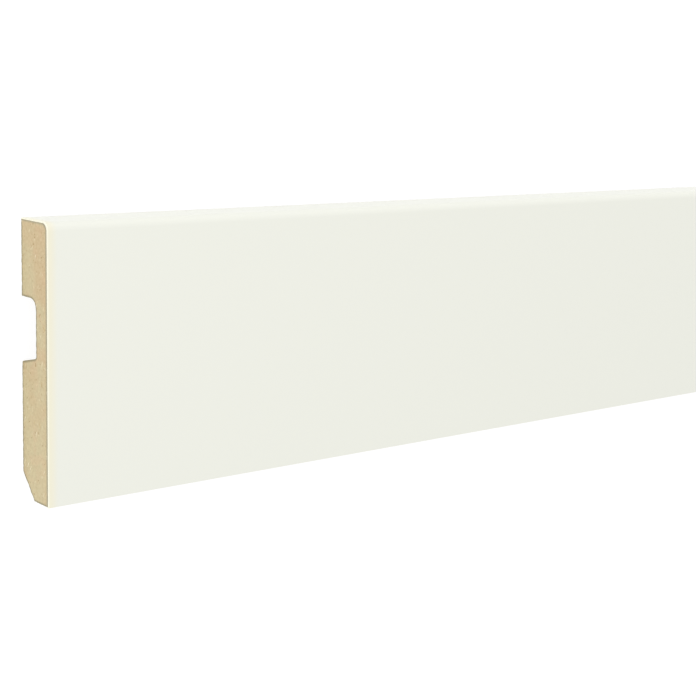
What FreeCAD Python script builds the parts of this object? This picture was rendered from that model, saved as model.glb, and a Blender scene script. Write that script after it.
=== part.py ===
"""Skirting board length: a moulded MDF strip with a white foil wrapped over its face and top edge.

Frame: the board lies on its back. X runs along its length, +Y is towards the edge that is on top
once the board is fixed to a wall, and +Z is out of the white face. The origin is under the middle
of the board, on the plane of its back. Sizes are in millimetres, angles in degrees.
"""
import FreeCAD, Part
import Sketcher
import os

PARTS_FOLDER = "parts"

SIZES = {
    # Over the foil
    "board_length": 2400.0,
    "board_height": 80.0,
    "board_thickness": 15.0,
    "nose_radius": 2.5,
    # Foil with its glue line, trimmed a little short of the back
    "foil_thickness": 0.4,
    "foil_setback": 0.5,
    # Channel in the back: its roof is square to the back, and its sill leans inwards
    "channel_drop": 22.0,
    "channel_mouth": 18.5,
    "channel_depth": 8.0,
    "sill_slope": 13.0,
    "roof_radius": 3.0,
    "sill_radius": 1.0,
    # Bevel between the back and the floor edge
    "bevel_rise": 7.5,
    "bevel_depth": 6.5,
}

# Lines of the section: heights along Y
TOP_EDGE = "sizes.board_height / 2"
FLOOR_EDGE = "-sizes.board_height / 2"
CORE_TOP = f"{TOP_EDGE} - sizes.foil_thickness"
CHANNEL_ROOF = f"{TOP_EDGE} - sizes.channel_drop"
CHANNEL_SILL = f"{CHANNEL_ROOF} - sizes.channel_mouth"
SILL_INNER = f"{CHANNEL_SILL} + sizes.channel_depth * tan(sizes.sill_slope * 1 deg)"
BEVEL_TOP = f"{FLOOR_EDGE} + sizes.bevel_rise"

# Lines of the section: depths along Z
BACK = "0"
WHITE_FACE = "sizes.board_thickness"
CORE_FACE = f"{WHITE_FACE} - sizes.foil_thickness"
FOIL_TRIM = "sizes.foil_setback"
CHANNEL_FLOOR = "sizes.channel_depth"
BEVEL_END = "sizes.bevel_depth"

SKETCH_ORIGIN = (-1, 1)
SAME_PLACE = 1e-4


def add_sheet(doc):
    """The sheet that holds every driving dimension, one to a row."""
    sheet = doc.addObject("Spreadsheet::Sheet", "sizes")
    for row, (alias, size) in enumerate(SIZES.items(), start=1):
        sheet.set(f"A{row}", alias)
        sheet.set(f"B{row}", str(size))
        sheet.setAlias(f"B{row}", alias)
    doc.recompute()


def add_body(doc, label):
    """An empty body in the board's frame."""
    body = doc.addObject("PartDesign::Body", label)
    body.Label = label
    body.Placement = FreeCAD.Placement()
    return body


def add_section(body, name, corners):
    """A closed outline across the board. Each corner gives the formulas of its Y and its Z."""
    sketch = body.newObject("Sketcher::SketchObject", name)
    plane = next(f for f in body.Origin.OriginFeatures if f.Role == "YZ_Plane")
    sketch.AttachmentSupport = [(plane, "")]
    sketch.MapMode = "FlatFace"

    places = [corner_place(sketch, corner) for corner in corners]
    for side, place in enumerate(places):
        next_place = places[(side + 1) % len(places)]
        sketch.addGeometry(Part.LineSegment(place, next_place), False)

    for side, (across, out) in enumerate(corners):
        next_side = (side + 1) % len(corners)
        sketch.addConstraint(
            Sketcher.Constraint("Coincident", *end_of(side), *start_of(next_side))
        )
        pin_corner(sketch, side, "DistanceX", places[side].x, across)
        pin_corner(sketch, side, "DistanceY", places[side].y, out)
    return sketch


def start_of(side):
    """The start of a line in a sketch, as the sketch numbers it."""
    return side, 1


def end_of(side):
    """The end of a line in a sketch, as the sketch numbers it."""
    return side, 2


def corner_place(holder, corner):
    """A corner's formulas worked out, as a point in the plane of the section."""
    across, out = (float(holder.evalExpression(formula)) for formula in corner)
    return FreeCAD.Vector(across, out, 0)


def pin_corner(sketch, side, direction, distance, formula):
    """Holds the start of a side at a distance from the origin that follows its formula."""
    number = sketch.addConstraint(
        Sketcher.Constraint(direction, *SKETCH_ORIGIN, *start_of(side), distance)
    )
    sketch.setExpression(f"Constraints[{number}]", formula)


def add_pad(body, sketch, name):
    """The section run along the whole board, to both sides of its middle."""
    pad = body.newObject("PartDesign::Pad", name)
    pad.Profile = sketch
    pad.SideType = "Symmetric"
    pad.setExpression("Length", "sizes.board_length")
    body.Document.recompute()
    return pad


def add_groove(body, sketch, name):
    """The section milled away from end to end."""
    pocket = body.newObject("PartDesign::Pocket", name)
    pocket.Profile = sketch
    pocket.SideType = "Symmetric"
    pocket.Type = "ThroughAll"
    body.Document.recompute()
    return pocket


def add_round(body, corner, radius, name):
    """The arris at one corner of the section rounded along the whole board."""
    base = body.Tip
    fillet = body.newObject("PartDesign::Fillet", name)
    fillet.Base = (base, [edge_at(base, corner)])
    fillet.setExpression("Radius", radius)
    body.Document.recompute()
    return fillet


def edge_at(feature, corner):
    """The name of the edge that runs along the board at a corner of the section."""
    place = corner_place(feature, corner)
    for number, edge in enumerate(feature.Shape.Edges, start=1):
        if all(is_at(vertex.Point, place) for vertex in edge.Vertexes):
            return f"Edge{number}"
    raise ValueError(f"{feature.Name} has no edge at {corner}")


def is_at(point, place):
    """Whether a point of the solid lies at a place of the section, anywhere along the board."""
    return abs(point.y - place.x) < SAME_PLACE and abs(point.z - place.y) < SAME_PLACE


def add_mdf_core(doc):
    """The MDF strip: a blank with the channel and bevel milled in its back, and its nose rounded."""
    body = add_body(doc, "mdf_core")

    blank = add_section(body, "blank_section", [
        (FLOOR_EDGE, BACK),
        (CORE_TOP, BACK),
        (CORE_TOP, CORE_FACE),
        (FLOOR_EDGE, CORE_FACE),
    ])
    add_pad(body, blank, "blank")

    channel = add_section(body, "channel_section", [
        (CHANNEL_SILL, BACK),
        (CHANNEL_ROOF, BACK),
        (CHANNEL_ROOF, CHANNEL_FLOOR),
        (SILL_INNER, CHANNEL_FLOOR),
    ])
    add_groove(body, channel, "channel")

    bevel = add_section(body, "bevel_section", [
        (FLOOR_EDGE, BACK),
        (BEVEL_TOP, BACK),
        (FLOOR_EDGE, BEVEL_END),
    ])
    add_groove(body, bevel, "bevel")

    add_round(body, (CHANNEL_ROOF, CHANNEL_FLOOR), "sizes.roof_radius", "channel_roof_round")
    add_round(body, (SILL_INNER, CHANNEL_FLOOR), "sizes.sill_radius", "channel_sill_round")
    add_round(body, (CORE_TOP, CORE_FACE), "sizes.nose_radius - sizes.foil_thickness", "nose")
    return body


def add_foil_wrap(doc):
    """The white foil: one strip from near the back, over the top edge and nose, down the face."""
    body = add_body(doc, "foil_wrap")

    strip = add_section(body, "strip_section", [
        (TOP_EDGE, FOIL_TRIM),
        (TOP_EDGE, WHITE_FACE),
        (FLOOR_EDGE, WHITE_FACE),
        (FLOOR_EDGE, CORE_FACE),
        (CORE_TOP, CORE_FACE),
        (CORE_TOP, FOIL_TRIM),
    ])
    add_pad(body, strip, "strip")

    add_round(body, (CORE_TOP, CORE_FACE), "sizes.nose_radius - sizes.foil_thickness", "glued_side")
    add_round(body, (TOP_EDGE, WHITE_FACE), "sizes.nose_radius", "outer_side")
    return body


def check(doc, bodies):
    """Stops where a feature failed, a section is loose, a groove cut nothing or a solid is bad."""
    for item in doc.Objects:
        if {"Invalid", "Error"} & set(item.State):
            raise RuntimeError(f"{item.Name} failed: {item.State}")
        if item.TypeId == "Sketcher::SketchObject" and not item.FullyConstrained:
            raise RuntimeError(f"{item.Name} isn't fully constrained")
        if item.TypeId == "PartDesign::Pocket" and item.Shape.Volume >= item.BaseFeature.Shape.Volume:
            raise RuntimeError(f"{item.Name} cut nothing")
    for body in bodies:
        if body.Shape.isNull() or not body.Shape.isValid() or len(body.Shape.Solids) != 1:
            raise RuntimeError(f"{body.Label} isn't one valid solid")


def export(bodies):
    """Writes each piece's solid under its own name."""
    os.makedirs(PARTS_FOLDER, exist_ok=True)
    for body in bodies:
        body.Shape.exportStep(f"{PARTS_FOLDER}/{body.Label}.step")


doc = FreeCAD.newDocument("skirting_board")
add_sheet(doc)
bodies = [add_mdf_core(doc), add_foil_wrap(doc)]
doc.recompute()
check(doc, bodies)
export(bodies)
for body in bodies:
    print(f"{body.Label}: {body.Shape.Volume / 1e3:.1f} cm3")
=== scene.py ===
import math

import bmesh
import bpy
import numpy as np
from mathutils import Matrix, Vector, geometry, noise


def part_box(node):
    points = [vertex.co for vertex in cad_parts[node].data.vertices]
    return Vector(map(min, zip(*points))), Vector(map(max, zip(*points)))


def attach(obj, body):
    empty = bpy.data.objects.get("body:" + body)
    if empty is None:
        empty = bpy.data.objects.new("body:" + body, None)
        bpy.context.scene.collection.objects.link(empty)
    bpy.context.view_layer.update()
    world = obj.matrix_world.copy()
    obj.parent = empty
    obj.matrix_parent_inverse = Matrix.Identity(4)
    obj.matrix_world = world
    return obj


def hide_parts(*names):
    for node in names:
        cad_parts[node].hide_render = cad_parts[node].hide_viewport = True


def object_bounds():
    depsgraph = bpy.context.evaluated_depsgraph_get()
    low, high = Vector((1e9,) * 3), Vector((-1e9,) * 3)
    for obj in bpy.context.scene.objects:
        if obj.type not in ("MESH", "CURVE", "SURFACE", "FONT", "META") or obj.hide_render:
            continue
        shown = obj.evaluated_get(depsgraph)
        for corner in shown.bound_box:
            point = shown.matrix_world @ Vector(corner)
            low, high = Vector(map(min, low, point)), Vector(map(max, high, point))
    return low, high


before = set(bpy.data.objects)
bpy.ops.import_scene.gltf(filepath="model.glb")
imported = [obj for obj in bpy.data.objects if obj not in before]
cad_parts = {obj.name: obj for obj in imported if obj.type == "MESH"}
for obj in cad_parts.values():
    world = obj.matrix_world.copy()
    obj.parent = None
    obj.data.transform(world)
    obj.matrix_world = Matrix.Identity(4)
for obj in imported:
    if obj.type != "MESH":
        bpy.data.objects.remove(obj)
cad_low, cad_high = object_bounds()
MM = 0.001


# The moulded strip: MDF, which is wood fibre and resin pressed into board. Cutters mill its section
# along the whole length, a belt eases its arrises, and a circular saw cuts its ends square.
core_low, core_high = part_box("mdf_core")
nose_round = 2.1 * MM
channel_drop = 22.0 * MM
channel_mouth = 18.5 * MM
channel_depth = 8.0 * MM
sill_slope = math.radians(13)
roof_round = 3.0 * MM
sill_round = 1.0 * MM
bevel_rise = 7.5 * MM
bevel_depth = 6.5 * MM
eased_arris = 0.25 * MM
outline_step = 0.5 * MM
arc_steps = 10

# Its arrises, nibbled by the saw: how deep, how far along the board, and how the bites vary
tear_out = 0.22 * MM
tear_under_foil = 0.04 * MM
tear_reach = 1.3 * MM
tear_rows = (0, 0.4, 0.7, 1)
usual_bite = 0.35
coarse_bite = 1.6 * MM
coarse_bite_sway = 0.9
fine_bite = 0.5 * MM
fine_bite_sway = 0.5

# Its sawn faces: lumps of fibre and small pits, over a grid of places that has a rim of its own
saw_recess = 0.18 * MM
lump_height = 0.10 * MM
usual_lump = 0.5
coarse_lump = 1.1 * MM
coarse_lump_sway = 0.5
fine_lump = 0.5 * MM
fine_lump_sway = 0.3
pit_depth = 0.22 * MM
pit_spacing = 0.9 * MM
pit_rarity = 0.45
pit_steepness = 2
pit_pattern = Vector((7, 3, 1))
grid_spacing = 0.42 * MM
grid_stray = 0.35
grid_seed = 11
rim_width = 0.45 * MM
rim_rings = (0.35, 0.95)
rim_to_grid = 1.2
ring_clearance = 0.8
same_place = 0.0001 * MM

# Its glue line with painted shade, thinner over the top edge than on the face; its bare arrises
# darker
glue_on_top_edge = 0.4 * MM
top_edge_start = 1.0 * MM
top_edge_full = 3.0 * MM
# How the darkening along the bare arrises fades out by the foil
darkening_fades_by_foil = 0.8 * MM
darkening_kept_off_foil = 0.6 * MM

cutter_pitch = 1.6 * MM
weld_gap = 0.001 * MM
strip_crease = math.radians(60)


def rounded_outline(corners, steps):
    """Points round a closed outline, with each corner (y, z, radius) turned into an arc."""
    points = []
    places = [Vector(corner[:2]) for corner in corners]
    for index, (place, corner) in enumerate(zip(places, corners)):
        to_last = (places[index - 1] - place).normalized()
        to_next = (places[(index + 1) % len(places)] - place).normalized()
        radius = corner[2]
        if radius == 0:
            points.append(place)
            continue
        half_angle = to_last.angle(to_next) / 2
        centre = place + (to_last + to_next).normalized() * radius / math.sin(half_angle)
        reach = radius / math.tan(half_angle)
        first = place + to_last * reach - centre
        last = place + to_next * reach - centre
        points += [
            centre + radius * first.slerp(last, step / steps) for step in range(steps + 1)
        ]
    return points


def divided(points, step):
    """The same closed outline with no two points further apart than a step."""
    dense = []
    for index, point in enumerate(points):
        following = points[(index + 1) % len(points)]
        pieces = max(1, math.ceil((following - point).length / step))
        dense += [point.lerp(following, piece / pieces) for piece in range(pieces)]
    return dense


def strip_section():
    """The section of the strip, as points (y, z)."""
    top, face = core_high.y, core_high.z
    floor_edge, back = core_low.y, core_low.z
    roof = cad_high.y - channel_drop
    sill = roof - channel_mouth
    channel_floor = back + channel_depth
    return divided(rounded_outline([
        (floor_edge, back + bevel_depth, eased_arris),
        (floor_edge + bevel_rise, back, eased_arris),
        (sill, back, eased_arris),
        (sill + channel_depth * math.tan(sill_slope), channel_floor, sill_round),
        (roof, channel_floor, roof_round),
        (roof, back, eased_arris),
        (top, back, eased_arris),
        (top, face, nose_round),
        (floor_edge, face, 0),
    ], arc_steps), outline_step)


def distance_to_outline(places, outline):
    """How far each place is from the nearest side of the closed outline."""
    starts = np.array(outline)
    sides = np.roll(starts, -1, axis=0) - starts
    nearest = np.full(len(places), np.inf)
    for start, side in zip(starts, sides):
        along = np.clip((places - start) @ side / (side @ side), 0, 1)
        gaps = np.linalg.norm(places - start - along[:, None] * side, axis=1)
        nearest = np.minimum(nearest, gaps)
    return nearest


def distance_to_foil(places):
    """How far each place is from the side of the strip that the foil is glued to."""
    below_top = core_high.y - places[:, 0]
    behind_face = core_high.z - places[:, 1]
    to_nose = nose_round - np.hypot(nose_round - below_top, nose_round - behind_face)
    in_nose = (below_top < nose_round) & (behind_face < nose_round)
    return np.where(in_nose, to_nose, np.minimum(below_top, behind_face))


def is_inside(places, outline):
    """Which places lie inside the closed outline: an odd number of its sides are beyond them."""
    inside = np.zeros(len(places), bool)
    starts = np.array(outline)
    for (y, z), (next_y, next_z) in zip(starts, np.roll(starts, -1, axis=0)):
        if z == next_z:
            continue
        crosses = (z > places[:, 1]) != (next_z > places[:, 1])
        crossing = y + (places[:, 1] - z) * (next_y - y) / (next_z - z)
        inside ^= crosses & (places[:, 0] < crossing)
    return inside


def torn_outline(outline, end):
    """The outline at a sawn end, where the saw has nibbled its arrises, least under the foil."""
    held = distance_to_foil(np.array(outline)) < eased_arris
    torn = []
    for index, point in enumerate(outline):
        along = outline[(index + 1) % len(outline)] - outline[index - 1]
        inwards = Vector((-along.y, along.x)).normalized()
        coarse = noise.noise(Vector((point.x, point.y, end)) / coarse_bite)
        fine = noise.noise(Vector((point.y, point.x, end)) / fine_bite)
        bite = usual_bite + coarse_bite_sway * coarse + fine_bite_sway * fine
        deepest = tear_under_foil if held[index] else tear_out
        torn.append(point + inwards * min(max(0, bite), 1) * deepest)
    return torn


def sawn_depth(place, end):
    """How deep the sawn face lies at a place, for its lumpy fibre bundles and small pits."""
    at = Vector((place[0], place[1], end))
    coarse = coarse_lump_sway * noise.noise(at / coarse_lump)
    fine = fine_lump_sway * noise.noise(at / fine_lump)
    lump = min(max(usual_lump + coarse + fine, 0), 1)
    pit = max(0, noise.noise(at / pit_spacing + pit_pattern) - pit_rarity) * pit_steepness
    return saw_recess + lump_height * lump + pit_depth * min(pit, 1)


def sawn_cap(outline):
    """The places (y, z) over a sawn end and the triangles between them."""
    rng = np.random.default_rng(grid_seed)
    border = np.array(outline)
    low, high = border.min(axis=0), border.max(axis=0)
    grid = np.stack(np.meshgrid(
        np.arange(low[0], high[0], grid_spacing), np.arange(low[1], high[1], grid_spacing)
    ), axis=-1).reshape(-1, 2)
    grid = grid + rng.uniform(-grid_stray, grid_stray, grid.shape) * grid_spacing
    grid = grid[is_inside(grid, border)]
    grid = grid[distance_to_outline(grid, border) > rim_to_grid * rim_width]

    along = np.roll(border, -1, axis=0) - np.roll(border, 1, axis=0)
    inwards = np.stack([-along[:, 1], along[:, 0]], axis=1)
    inwards /= np.linalg.norm(inwards, axis=1)[:, None]
    rings = []
    for share in rim_rings:
        gap = share * rim_width
        ring = border + inwards * gap
        ring = ring[is_inside(ring, border)]
        rings.append(ring[distance_to_outline(ring, border) > ring_clearance * gap])

    places = [Vector(place) for place in np.concatenate([border, *rings, grid])]
    only_inside = 1
    joined, _, triangles = geometry.delaunay_2d_cdt(
        places, [], [list(range(len(border)))], only_inside, same_place
    )[:3]
    return joined, triangles


def moulded_strip():
    """The strip's mesh: sides in loops from end to end, and a sawn face closing each end."""
    section = strip_section()
    count = len(section)
    rows, vertices, faces, finishes = [], [], [], []
    for end, inwards in ((core_low.x, 1), (core_high.x, -1)):
        torn = torn_outline(section, end)
        end_rows = []
        for reach in tear_rows:
            loop = [whole.lerp(bitten, (1 - reach) ** 2) for whole, bitten in zip(section, torn)]
            if reach == 0:
                depths = [sawn_depth(point, end) for point in loop]
            else:
                depths = [reach * tear_reach] * count
            end_rows.append(range(len(vertices), len(vertices) + count))
            vertices += [
                (end + inwards * depth, point.x, point.y) for depth, point in zip(depths, loop)
            ]
        rows += end_rows[::inwards]

        places, triangles = sawn_cap(torn)
        first = len(vertices)
        vertices += [
            (end + inwards * sawn_depth(place, end), place.x, place.y) for place in places
        ]
        for triangle in triangles:
            corners = [first + index for index in triangle]
            faces.append(corners[::-inwards])
            finishes.append(0)

    for near, far in zip(rows, rows[1:]):
        for index in range(count):
            following = (index + 1) % count
            faces.append((near[index], near[following], far[following], far[index]))
            finishes.append(1)

    mesh = bpy.data.meshes.new("mdf_strip")
    mesh.from_pydata(vertices, [], faces)
    mesh.polygons.foreach_set("material_index", finishes)
    return mesh


def weld(mesh, gap):
    """Joins the vertices of a mesh that meet."""
    shape = bmesh.new()
    shape.from_mesh(mesh)
    bmesh.ops.remove_doubles(shape, verts=shape.verts, dist=gap)
    shape.to_mesh(mesh)
    shape.free()


def mark_distances(mesh):
    """Stores how far each vertex is from the arrises, the bare sides and the glue line.

    A place by the foil counts as further from a bare side, which keeps the darkening off it. A
    place by the top edge counts as further from the glue line and its painted shade, which are
    thinner there.
    """
    places = np.array([vertex.co[1:] for vertex in mesh.vertices])
    to_arris = distance_to_outline(places, strip_section())
    to_foil = distance_to_foil(places)
    by_foil = np.clip(1 + (to_arris - to_foil) / darkening_fades_by_foil, 0, 1)
    behind_face = core_high.z - places[:, 1]
    over_top = np.clip((behind_face - top_edge_start) / (top_edge_full - top_edge_start), 0, 1)
    distances = {
        "to_arris": to_arris,
        "to_bare_side": to_arris + by_foil * darkening_kept_off_foil,
        "to_glue": to_foil * (1 + over_top) + glue_on_top_edge * over_top,
    }
    for name, distance in distances.items():
        mesh.attributes.new(name, "FLOAT", "POINT").data.foreach_set("value", distance)


def linear(code):
    """An sRGB hex colour as the linear colour that a shader takes."""
    parts = [int(code[start:start + 2], 16) / 255 for start in (0, 2, 4)]
    return [
        *(part / 12.92 if part <= 0.04045 else ((part + 0.055) / 1.055) ** 2.4 for part in parts), 1
    ]


def add_node(tree, kind, inputs=None, **settings):
    """Adds a node with its settings, and sets or links its inputs.

    An input goes by its name, or by its number where the node has several of that name.
    """
    made = tree.nodes.new(kind)
    for name, value in settings.items():
        setattr(made, name, value)
    for name, value in (inputs or {}).items():
        socket = made.inputs[name]
        if isinstance(value, bpy.types.NodeSocket):
            tree.links.new(value, socket)
        else:
            socket.default_value = value
    return made


def new_material(name):
    """An empty node material and its tree."""
    material = bpy.data.materials.new(name)
    material.use_nodes = True
    material.node_tree.nodes.clear()
    return material, material.node_tree


def laid_over(tree, under, code, measure, shares):
    """A colour laid over another, its share eased between two {measure: share} pairs."""
    (low, first), (high, last) = shares.items()
    share = add_node(tree, "ShaderNodeMapRange", {
        "Value": measure, "From Min": low, "From Max": high, "To Min": first, "To Max": last,
    }, interpolation_type="SMOOTHSTEP")
    return add_node(tree, "ShaderNodeMix", {
        0: share.outputs["Result"], 6: under, 7: linear(code),
    }, data_type="RGBA").outputs[2]


def sawn_mdf():
    """Sawn MDF: matt tan felt, denser at both faces, with pale bundles, a dark glue line and
    painted shade by it.

    Its felt, flecks and specks are drawn coarser than real ones, which are too fine to show.
    """
    material, tree = new_material("mdf_sawn_across")
    place = add_node(tree, "ShaderNodeTexCoord").outputs["Object"]
    height = add_node(tree, "ShaderNodeSeparateXYZ", {"Vector": place}).outputs["Z"]
    to_bare, to_glue = (
        add_node(tree, "ShaderNodeAttribute", attribute_name=name).outputs["Fac"]
        for name in ("to_bare_side", "to_glue")
    )
    grain = {
        name: add_node(tree, "ShaderNodeTexNoise", {
            "Vector": place, "Scale": 1 / size, "Detail": detail, "W": pattern,
        }, noise_dimensions="4D").outputs["Fac"]
        for name, size, detail, pattern in (
            ("clouds", 11 * MM, 1.5, 27.88),
            ("blush", 5 * MM, 1.0, 1.7),
            ("felt", 0.9 * MM, 3.0, 1.0),
            ("flecks", 1.3 * MM, 1.0, 9.0),
            ("specks", 0.8 * MM, 1.0, 3.0),
        )
    }

    tan = laid_over(tree, linear("D4C7A2"), "D3BC96", grain["clouds"], {0.42: 0, 0.66: 1})
    tan = laid_over(tree, tan, "DEBE9C", grain["blush"], {0.50: 0, 0.66: 0.35})
    tan = laid_over(tree, tan, "C2B48B", height, {core_low.z: 0.25, core_low.z + 3 * MM: 0})
    tan = laid_over(tree, tan, "D8B68C", height, {core_high.z - 4 * MM: 0, core_high.z: 0.3})
    tan = laid_over(tree, tan, "BFAC84", grain["felt"], {0.3: 0.26, 0.7: 0})
    tan = laid_over(tree, tan, "E3D5AE", grain["felt"], {0.3: 0, 0.7: 0.26})
    tan = laid_over(tree, tan, "F2E7C6", grain["flecks"], {0.64: 0, 0.72: 0.35})
    tan = laid_over(tree, tan, "A98A5C", grain["specks"], {0.66: 0, 0.74: 0.65})
    # Darker along the bare arrises, fading out by the foil
    darker_by_bare_arris = laid_over(tree, tan, "908A70", to_bare, {0.15 * MM: 0.8, 0.9 * MM: 0})
    # Greyer, then dark, towards the foil: partly the real glue line, partly painted shade along the
    # joint
    greyer_by_glue_and_shade = laid_over(tree, darker_by_bare_arris, "B2AB91", to_glue, {0.8 * MM: 0.75, 2.1 * MM: 0})
    glued = laid_over(tree, greyer_by_glue_and_shade, "6A6658", to_glue, {0.2 * MM: 0.95, 0.9 * MM: 0})

    bump = add_node(tree, "ShaderNodeBump", {
        "Height": grain["felt"], "Distance": 0.10 * MM, "Strength": 0.6,
    })
    surface = add_node(tree, "ShaderNodeBsdfPrincipled", {
        "Base Color": glued, "Roughness": 0.9, "IOR": 1.45, "Specular IOR Level": 0.25,
        "Normal": bump.outputs["Normal"],
    })
    add_node(tree, "ShaderNodeOutputMaterial", {"Surface": surface.outputs["BSDF"]})
    return material


def milled_mdf():
    """Milled and sanded MDF: darker and closer than where sawn, with faint lines and cutter marks.

    Its lines, fuzz and specks are drawn coarser than real ones, which are too fine to show.
    """
    material, tree = new_material("mdf_milled_along")
    place = add_node(tree, "ShaderNodeTexCoord").outputs["Object"]
    height = add_node(tree, "ShaderNodeSeparateXYZ", {"Vector": place}).outputs["Z"]
    drawn_out = add_node(tree, "ShaderNodeMapping", {"Vector": place, "Scale": (0.03, 1, 1)})
    grain = {
        name: add_node(tree, "ShaderNodeTexNoise", {
            "Vector": over, "Scale": 1 / size, "Detail": detail, "W": pattern,
        }, noise_dimensions="4D").outputs["Fac"]
        for name, over, size, detail, pattern in (
            ("clouds", place, 18 * MM, 3.0, 0.0),
            ("lines", drawn_out.outputs["Vector"], 0.5 * MM, 2.0, 0.0),
            ("fuzz", place, 0.7 * MM, 3.0, 5.0),
            ("specks", place, 0.8 * MM, 2.0, 7.0),
        )
    }

    tan = laid_over(tree, linear("C4B088"), "CFB88F", grain["clouds"], {0.35: 0, 0.65: 1})
    tan = laid_over(tree, tan, "B5A079", height, {core_low.z: 0.35, core_low.z + 2.5 * MM: 0})
    tan = laid_over(tree, tan, "B09A72", height, {core_high.z - 2.5 * MM: 0, core_high.z: 0.5})
    tan = laid_over(tree, tan, "B39E77", grain["lines"], {0.3: 0, 0.7: 0.3})
    tan = laid_over(tree, tan, "E0CFA8", grain["fuzz"], {0.54: 0, 0.70: 0.5})
    tan = laid_over(tree, tan, "94805A", grain["specks"], {0.60: 0, 0.72: 0.5})

    bands_each_metre_at_scale_1 = 20 / (2 * math.pi)
    ripples = add_node(tree, "ShaderNodeTexWave", {
        "Vector": place, "Scale": 1 / cutter_pitch / bands_each_metre_at_scale_1, "Distortion": 0.0,
    }, wave_type="BANDS", bands_direction="X")
    ribbed = add_node(tree, "ShaderNodeBump", {
        "Height": ripples.outputs["Fac"], "Distance": 0.02 * MM, "Strength": 0.5,
    })
    bump = add_node(tree, "ShaderNodeBump", {
        "Height": grain["lines"], "Distance": 0.05 * MM, "Strength": 0.5,
        "Normal": ribbed.outputs["Normal"],
    })
    surface = add_node(tree, "ShaderNodeBsdfPrincipled", {
        "Base Color": tan, "Roughness": 0.82, "IOR": 1.45, "Specular IOR Level": 0.3,
        "Normal": bump.outputs["Normal"],
    })
    add_node(tree, "ShaderNodeOutputMaterial", {"Surface": surface.outputs["BSDF"]})
    return material


strip_mesh = moulded_strip()
weld(strip_mesh, weld_gap)
mark_distances(strip_mesh)
strip_mesh.materials.append(sawn_mdf())
strip_mesh.materials.append(milled_mdf())
strip_mesh.shade_smooth()
strip_mesh.set_sharp_from_angle(angle=strip_crease)
mdf_strip = bpy.data.objects.new("mdf_strip", strip_mesh)
bpy.context.scene.collection.objects.link(mdf_strip)
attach(mdf_strip, "root")
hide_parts("mdf_core")


# The fibre bundles that the saw has lifted out of the sawn ends: pale bowed strands, thickest in
# their middle, which the MDF still holds. They lie nearly as the board was pressed, along its face.
strands_each_mm2 = 0.05
longest_strand = 2.4 * MM
shortest_share = 0.35
strand_bow = 0.06
strand_slimness = 0.05
strand_tip = 0.2
strand_stray = 0.5
strand_sides = 5
strand_steps = 6
least_room = 0.2 * MM
length_to_room = 1.8
fibre_seed = 5


def start_tree(name, inputs, output):
    """A node tree with named inputs and one geometry output, and its input sockets."""
    tree = bpy.data.node_groups.new(name, "GeometryNodeTree")
    for label, kind in inputs:
        tree.interface.new_socket(label, in_out="INPUT", socket_type=f"NodeSocket{kind}")
    tree.interface.new_socket(output, in_out="OUTPUT", socket_type="NodeSocketGeometry")
    return tree, add_node(tree, "NodeGroupInput").outputs


def finish_tree(tree, shape, material):
    """Ends a tree: its instances made real and its material set."""
    real = add_node(tree, "GeometryNodeRealizeInstances", {"Geometry": shape})
    finished = add_node(tree, "GeometryNodeSetMaterial", {
        "Geometry": real.outputs["Geometry"], "Material": material,
    })
    add_node(tree, "NodeGroupOutput", {0: finished.outputs["Geometry"]})


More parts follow.
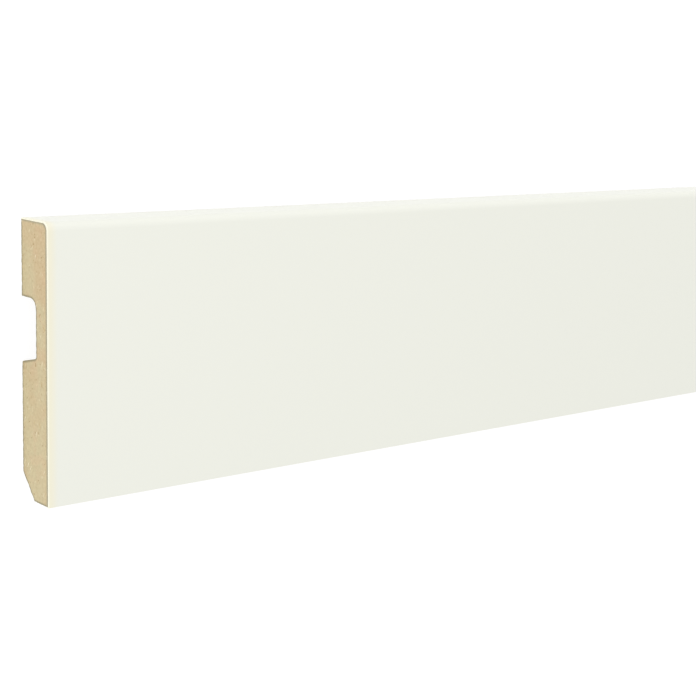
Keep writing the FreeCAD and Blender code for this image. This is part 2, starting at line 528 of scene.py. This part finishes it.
def fibre_tree():
    """Scatters bowed strands over the sawn faces, each short enough to keep within the arrises."""
    tree, given = start_tree("fibres_lifted_by_the_saw", (
        ("Strip", "Geometry"), ("Strands each mm2", "Float"), ("Longest", "Float"),
        ("Shortest share", "Float"), ("Bow", "Float"), ("Slimness", "Float"), ("Tip", "Float"),
        ("Stray", "Float"), ("Sides", "Int"), ("Steps", "Int"), ("Least room", "Float"),
        ("Length to room", "Float"), ("Seed", "Int"), ("Fibre", "Material"),
    ), "Fibres")

    # One strand, a metre long and thickest in its middle
    middle = add_node(tree, "ShaderNodeCombineXYZ", {"Y": given["Bow"], "Z": given["Bow"]})
    strand = add_node(tree, "GeometryNodeCurveQuadraticBezier", {
        "Resolution": given["Steps"], "Start": (-0.5, 0, 0), "Middle": middle.outputs["Vector"],
        "End": (0.5, 0, 0),
    })
    along = add_node(tree, "GeometryNodeSplineParameter").outputs["Factor"]
    half_turn = add_node(tree, "ShaderNodeMath", {0: along, 1: math.pi}, operation="MULTIPLY")
    hump = add_node(tree, "ShaderNodeMath", {0: half_turn.outputs[0]}, operation="SINE")
    swell = add_node(tree, "ShaderNodeMapRange", {
        "Value": hump.outputs[0], "To Min": given["Tip"], "To Max": 1.0,
    })
    ring = add_node(tree, "GeometryNodeCurvePrimitiveCircle", {
        "Resolution": given["Sides"], "Radius": given["Slimness"],
    })
    solid = add_node(tree, "GeometryNodeCurveToMesh", {
        "Curve": strand.outputs["Curve"], "Profile Curve": ring.outputs["Curve"],
        "Scale": swell.outputs["Result"], "Fill Caps": True,
    })

    # Its places, on the sawn faces only and not at an arris
    finish = add_node(tree, "GeometryNodeInputMaterialIndex").outputs["Material Index"]
    sawn = add_node(tree, "FunctionNodeCompare", {2: finish, 3: 0}, data_type="INT",
                    operation="EQUAL")
    to_arris = add_node(tree, "GeometryNodeInputNamedAttribute", {"Name": "to_arris"},
                        data_type="FLOAT").outputs["Attribute"]
    has_room = add_node(tree, "ShaderNodeMath", {
        0: to_arris, 1: given["Least room"],
    }, operation="GREATER_THAN")
    each_m2 = add_node(tree, "ShaderNodeMath", {
        0: given["Strands each mm2"], 1: 1 / MM ** 2,
    }, operation="MULTIPLY")
    density = add_node(tree, "ShaderNodeMath", {
        0: each_m2.outputs[0], 1: has_room.outputs[0],
    }, operation="MULTIPLY")
    roots = add_node(tree, "GeometryNodeDistributePointsOnFaces", {
        "Mesh": given["Strip"], "Selection": sawn.outputs["Result"],
        "Density": density.outputs[0], "Seed": given["Seed"],
    })

    # Its turn: flat on the sawn face, and nearly along the white face
    place = add_node(tree, "GeometryNodeInputPosition").outputs["Position"]
    parts = add_node(tree, "ShaderNodeSeparateXYZ", {"Vector": place})
    which_end = add_node(tree, "ShaderNodeMath", {0: parts.outputs["X"]}, operation="SIGN")
    outwards = add_node(tree, "ShaderNodeCombineXYZ", {"X": which_end.outputs[0]})
    facing = add_node(tree, "FunctionNodeAlignRotationToVector", {
        "Vector": outwards.outputs["Vector"],
    }, axis="Z")
    other_way = add_node(tree, "ShaderNodeMath", {
        0: given["Stray"], 1: -1.0,
    }, operation="MULTIPLY")
    stray = add_node(tree, "FunctionNodeRandomValue", {
        2: other_way.outputs[0], 3: given["Stray"], "Seed": given["Seed"],
    }, data_type="FLOAT")
    heading = add_node(tree, "ShaderNodeCombineXYZ", {"Y": 1.0, "Z": stray.outputs[1]})
    lying = add_node(tree, "FunctionNodeAlignRotationToVector", {
        "Rotation": facing.outputs["Rotation"], "Vector": heading.outputs["Vector"],
    }, axis="X", pivot_axis="Z")

    # Its length, no more than its place has room for, and its own tone
    next_seed = add_node(tree, "FunctionNodeIntegerMath", {
        0: given["Seed"], 1: 1,
    }, operation="ADD")
    share = add_node(tree, "FunctionNodeRandomValue", {
        2: given["Shortest share"], 3: 1.0, "Seed": next_seed.outputs[0],
    }, data_type="FLOAT")
    length = add_node(tree, "ShaderNodeMath", {
        0: share.outputs[1], 1: given["Longest"],
    }, operation="MULTIPLY")
    room = add_node(tree, "ShaderNodeMath", {
        0: to_arris, 1: given["Length to room"],
    }, operation="MULTIPLY")
    fitted = add_node(tree, "ShaderNodeMath", {
        0: length.outputs[0], 1: room.outputs[0],
    }, operation="MINIMUM")
    strands = add_node(tree, "GeometryNodeInstanceOnPoints", {
        "Points": roots.outputs["Points"], "Instance": solid.outputs["Mesh"],
        "Rotation": lying.outputs["Rotation"], "Scale": fitted.outputs[0],
    })
    tone = add_node(tree, "FunctionNodeRandomValue", {
        2: 0.0, 3: 1.0, "Seed": given["Seed"],
    }, data_type="FLOAT")
    toned = add_node(tree, "GeometryNodeStoreNamedAttribute", {
        "Geometry": strands.outputs["Instances"], "Name": "tone", "Value": tone.outputs[1],
    }, data_type="FLOAT", domain="INSTANCE")
    finish_tree(tree, toned.outputs["Geometry"], given["Fibre"])
    return tree


def made_by_tree(name, mesh, tree, values):
    """A new object with the mesh that a node tree makes of the given one, and no modifier."""
    source = bpy.data.objects.new(name, mesh)
    bpy.context.scene.collection.objects.link(source)
    modifier = source.modifiers.new(tree.name, "NODES")
    modifier.node_group = tree
    for item in tree.interface.items_tree:
        if item.in_out == "INPUT" and item.name in values:
            modifier[item.identifier] = values[item.name]
    bpy.context.view_layer.update()
    evaluated = source.evaluated_get(bpy.context.evaluated_depsgraph_get())
    result = bpy.data.meshes.new_from_object(evaluated)
    bpy.data.objects.remove(source)
    bpy.data.meshes.remove(mesh)
    if result.materials[0] is None:
        result.materials.pop(index=0)
    result.name = name
    made = bpy.data.objects.new(name, result)
    bpy.context.scene.collection.objects.link(made)
    return made


def lifted_fibre():
    """Lifted MDF fibre: clean pale wood without the resin's tan, matt, each bundle its own tone."""
    material, tree = new_material("mdf_fibre_lifted")
    tone = add_node(tree, "ShaderNodeAttribute", attribute_name="tone").outputs["Fac"]
    colour = laid_over(tree, linear("D9C79C"), "F7EED2", tone, {0.1: 0, 0.8: 1})
    surface = add_node(tree, "ShaderNodeBsdfPrincipled", {
        "Base Color": colour, "Roughness": 0.8, "IOR": 1.5, "Specular IOR Level": 0.3,
    })
    add_node(tree, "ShaderNodeOutputMaterial", {"Surface": surface.outputs["BSDF"]})
    return material


sawn_fibres = made_by_tree("sawn_fibres", strip_mesh.copy(), fibre_tree(), {
    "Strands each mm2": strands_each_mm2, "Longest": longest_strand,
    "Shortest share": shortest_share, "Bow": strand_bow, "Slimness": strand_slimness,
    "Tip": strand_tip, "Stray": strand_stray, "Sides": strand_sides, "Steps": strand_steps,
    "Least room": least_room, "Length to room": length_to_room, "Seed": fibre_seed,
    "Fibre": lifted_fibre(),
})
sawn_fibres.data.shade_smooth()
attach(sawn_fibres, "root")


# The wrap: white foil glued on hot by rollers, from a knife cut near the back, over the top edge
# and the nose and down the face, where it is trimmed flush with the floor edge.
foil_low, foil_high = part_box("foil_wrap")
foil_thickness = foil_high.z - core_high.z
knife_cut_round = 0.06 * MM
floor_arris_round = 0.12 * MM
round_steps = 20
foil_crease = math.radians(35)
warmed_by_saw = 3.5 * MM
# The band by the cut that is saw-whitened and also carries a painted highlight
whitened_and_highlight_by_saw = 0.5 * MM
whitest_and_brightest_by_saw = 0.1 * MM


def wrap_tree():
    """Rounds each corner of a flat outline by its own radius and runs it along X as a solid."""
    tree, given = start_tree("outline_run_along_the_board", (
        ("Outline", "Geometry"), ("Board start", "Float"), ("Board length", "Float"),
        ("Round steps", "Int"), ("Weld gap", "Float"), ("Crease angle", "Float"),
        ("Foil", "Material"),
    ), "Wrap")

    # The outline with its corners rounded, filled as the cut at the near end
    line = add_node(tree, "GeometryNodeMeshToCurve", {"Mesh": given["Outline"]})
    corner_round = add_node(tree, "GeometryNodeInputNamedAttribute", {"Name": "corner_round"},
                            data_type="FLOAT")
    rounded = add_node(tree, "GeometryNodeFilletCurve", {
        "Curve": line.outputs["Curve"], "Radius": corner_round.outputs["Attribute"],
        "Count": given["Round steps"], "Limit Radius": True,
    }, mode="POLY")
    near_cut = add_node(tree, "GeometryNodeFillCurve", {"Curve": rounded.outputs["Curve"]},
                        mode="NGONS")

    # The cut run along the board, closed behind and laid along X
    upwards = add_node(tree, "ShaderNodeCombineXYZ", {"Z": given["Board length"]})
    run = add_node(tree, "GeometryNodeExtrudeMesh", {
        "Mesh": near_cut.outputs["Mesh"], "Offset": upwards.outputs["Vector"], "Individual": False,
    }, mode="FACES")
    closing = add_node(tree, "GeometryNodeFlipFaces", {"Mesh": near_cut.outputs["Mesh"]})
    both = add_node(tree, "GeometryNodeJoinGeometry")
    tree.links.new(run.outputs["Mesh"], both.inputs["Geometry"])
    tree.links.new(closing.outputs["Mesh"], both.inputs["Geometry"])
    solid = add_node(tree, "GeometryNodeMergeByDistance", {
        "Geometry": both.outputs["Geometry"], "Distance": given["Weld gap"],
    })
    start = add_node(tree, "ShaderNodeCombineXYZ", {"X": given["Board start"]})
    laid = add_node(tree, "GeometryNodeTransform", {
        "Geometry": solid.outputs["Geometry"], "Translation": start.outputs["Vector"],
        "Rotation": (math.pi / 2, 0, math.pi / 2),
    })

    # Smooth round the nose, and sharp where it was cut
    smooth = add_node(tree, "GeometryNodeSetShadeSmooth", {"Geometry": laid.outputs["Geometry"]})
    bend = add_node(tree, "GeometryNodeInputMeshEdgeAngle").outputs["Unsigned Angle"]
    crease = add_node(tree, "FunctionNodeCompare", {0: bend, 1: given["Crease angle"]},
                      data_type="FLOAT", operation="GREATER_THAN")
    creased = add_node(tree, "GeometryNodeSetShadeSmooth", {
        "Geometry": smooth.outputs["Geometry"], "Selection": crease.outputs["Result"],
        "Shade Smooth": False,
    }, domain="EDGE")
    finish_tree(tree, creased.outputs["Geometry"], given["Foil"])
    return tree


def foil_outline():
    """The foil's outline across the board, drawn flat, with a radius kept at each corner."""
    corners = [
        (foil_high.y, foil_low.z, knife_cut_round),
        (foil_high.y, foil_high.z, nose_round + foil_thickness),
        (foil_low.y, foil_high.z, floor_arris_round),
        (foil_low.y, core_high.z, 0),
        (core_high.y, core_high.z, nose_round),
        (core_high.y, foil_low.z, knife_cut_round),
    ]
    mesh = bpy.data.meshes.new("foil_outline")
    sides = [(index, (index + 1) % len(corners)) for index in range(len(corners))]
    mesh.from_pydata([(y, z, 0) for y, z, radius in corners], sides, [])
    rounds = mesh.attributes.new("corner_round", "FLOAT", "POINT")
    rounds.data.foreach_set("value", [radius for y, z, radius in corners])
    return mesh


def white_foil():
    """Satin white foil: smooth, faintly uneven over the fibres, whitened and with a painted
    highlight where the saw cut it.
    """
    material, tree = new_material("white_foil_satin")
    place = add_node(tree, "ShaderNodeTexCoord").outputs["Object"]
    parts = add_node(tree, "ShaderNodeSeparateXYZ", {"Vector": place})
    from_middle = add_node(tree, "ShaderNodeMath", {
        0: parts.outputs["X"],
    }, operation="ABSOLUTE").outputs[0]
    cut = foil_high.x
    warmed = laid_over(tree, linear("F1F2E8"), "F5F1DB", from_middle, {
        cut - warmed_by_saw: 0, cut - whitened_and_highlight_by_saw: 1,
    })
    # Whiter by the cut: partly saw-whitened foil, partly a painted highlight
    whitened = laid_over(tree, warmed, "FFFCE6", from_middle, {
        cut - whitened_and_highlight_by_saw: 0, cut - whitest_and_brightest_by_saw: 1,
    })

    unevenness = add_node(tree, "ShaderNodeTexNoise", {
        "Vector": place, "Scale": 1 / (2.4 * MM), "Detail": 2.0,
    }, noise_dimensions="4D").outputs["Fac"]
    bump = add_node(tree, "ShaderNodeBump", {
        "Height": unevenness, "Distance": 0.02 * MM, "Strength": 0.5,
    })
    surface = add_node(tree, "ShaderNodeBsdfPrincipled", {
        "Base Color": whitened, "Roughness": 0.34, "IOR": 1.46, "Normal": bump.outputs["Normal"],
    })
    add_node(tree, "ShaderNodeOutputMaterial", {"Surface": surface.outputs["BSDF"]})
    return material


white_wrap = made_by_tree("white_foil", foil_outline(), wrap_tree(), {
    "Board start": foil_low.x, "Board length": foil_high.x - foil_low.x,
    "Round steps": round_steps, "Weld gap": weld_gap, "Crease angle": foil_crease,
    "Foil": white_foil(),
})
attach(white_wrap, "root")
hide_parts("foil_wrap")


# The floor and the light: a plain white floor that keeps the board's soft shadow, an even white
# surround, a low soft panel beyond the top edge, one beyond the sawn end and one over the near end.
floor_size = 60.0
floor_gap = 0.1 * MM
floor_glow = 0.93
ambient = 0.83


def is_seen(tree):
    """Whether a ray comes from the camera, or from something that mirrors or passes light."""
    rays = add_node(tree, "ShaderNodeLightPath").outputs
    shown = add_node(tree, "ShaderNodeMath", {
        0: rays["Is Camera Ray"], 1: rays["Is Glossy Ray"],
    }, operation="MAXIMUM")
    return add_node(tree, "ShaderNodeMath", {
        0: shown.outputs[0], 1: rays["Is Transmission Ray"],
    }, operation="MAXIMUM").outputs[0]


def white_floor():
    """White where it is seen or mirrored, with a little shadow kept, and plain white to light."""
    material, tree = new_material("white_floor")
    plain = add_node(tree, "ShaderNodeBsdfDiffuse", {"Color": linear("E6E6E6")})
    dim = add_node(tree, "ShaderNodeBsdfDiffuse", {"Color": linear("6E6E6E")})
    glow = add_node(tree, "ShaderNodeEmission", {"Color": linear("FFFFFF"), "Strength": floor_glow})
    shown = add_node(tree, "ShaderNodeAddShader", {0: dim.outputs[0], 1: glow.outputs[0]})
    mix = add_node(tree, "ShaderNodeMixShader", {
        0: is_seen(tree), 1: plain.outputs[0], 2: shown.outputs[0],
    })
    add_node(tree, "ShaderNodeOutputMaterial", {"Surface": mix.outputs[0]})
    return material


def white_surround():
    """A world that lights evenly and is white where it is seen or mirrored."""
    world = bpy.data.worlds.new("white_surround")
    world.use_nodes = True
    tree = world.node_tree
    tree.nodes.clear()
    lit = add_node(tree, "ShaderNodeBackground", {"Color": linear("FFFFFF"), "Strength": ambient})
    white = add_node(tree, "ShaderNodeBackground", {"Color": linear("FFFFFF"), "Strength": 1.0})
    mix = add_node(tree, "ShaderNodeMixShader", {
        0: is_seen(tree), 1: lit.outputs[0], 2: white.outputs[0],
    })
    add_node(tree, "ShaderNodeOutputWorld", {"Surface": mix.outputs[0]})
    return world


def soft_panel(name, place, aim, width, height, power):
    """A soft light in metres and watts, facing its aim. No camera ray or mirrored ray meets it."""
    lamp = bpy.data.lights.new(name, "AREA")
    lamp.shape = "RECTANGLE"
    lamp.size = width
    lamp.size_y = height
    lamp.energy = power
    panel = bpy.data.objects.new(name, lamp)
    panel.location = place
    panel.rotation_euler = (Vector(aim) - Vector(place)).to_track_quat("-Z", "Y").to_euler()
    panel.visible_camera = False
    panel.visible_glossy = False
    bpy.context.scene.collection.objects.link(panel)


floor_mesh = bpy.data.meshes.new("floor")
half = floor_size / 2
floor_mesh.from_pydata([
    (-half, -half, -floor_gap), (half, -half, -floor_gap),
    (half, half, -floor_gap), (-half, half, -floor_gap),
], [], [(0, 1, 2, 3)])
floor_mesh.materials.append(white_floor())
floor = bpy.data.objects.new("floor", floor_mesh)
bpy.context.scene.collection.objects.link(floor)

bpy.context.scene.world = white_surround()
soft_panel("panel_beyond_top_edge", place=(0.2, 2.2, 0.65), aim=(0, 0, 0),
           width=4.5, height=1.2, power=17)
soft_panel("panel_beyond_sawn_end", place=(-2.6, -0.3, 0.18), aim=(-1.2, 0, 0),
           width=1.0, height=0.35, power=3.6)
soft_panel("panel_over_near_end", place=(-1.5, 0.1, 0.6), aim=(-1.2, 0, 0),
           width=0.5, height=0.5, power=0.5)


# The camera: as the photo looks at the board that stands on its floor edge, here lying on its back.
# Its place, aim, roll and lens are fitted to the board's edges in the photo.
camera_place = Vector((-1.40514, 0.08576, 0.38578))
camera_aim = Vector((-1.09267, -0.00472, 0.01500))
camera_roll = math.radians(-1.768)
camera_lens = 80.07
sensor_width = 36.0

forward = (camera_aim - camera_place).normalized()
right = forward.cross(Vector((0, 1, 0))).normalized()
above = right.cross(forward)
turn = Matrix.Rotation(camera_roll, 3, forward) @ Matrix((right, above, -forward)).transposed()
camera_data = bpy.data.cameras.new("camera")
camera_data.lens = camera_lens
camera_data.sensor_width = sensor_width
camera_data.clip_start = 0.01
camera_data.clip_end = 100
camera = bpy.data.objects.new("camera", camera_data)
camera.matrix_world = Matrix.Translation(camera_place) @ turn.to_4x4()
bpy.context.scene.collection.objects.link(camera)
bpy.context.scene.camera = camera

bpy.context.scene.view_settings.view_transform = "Standard"
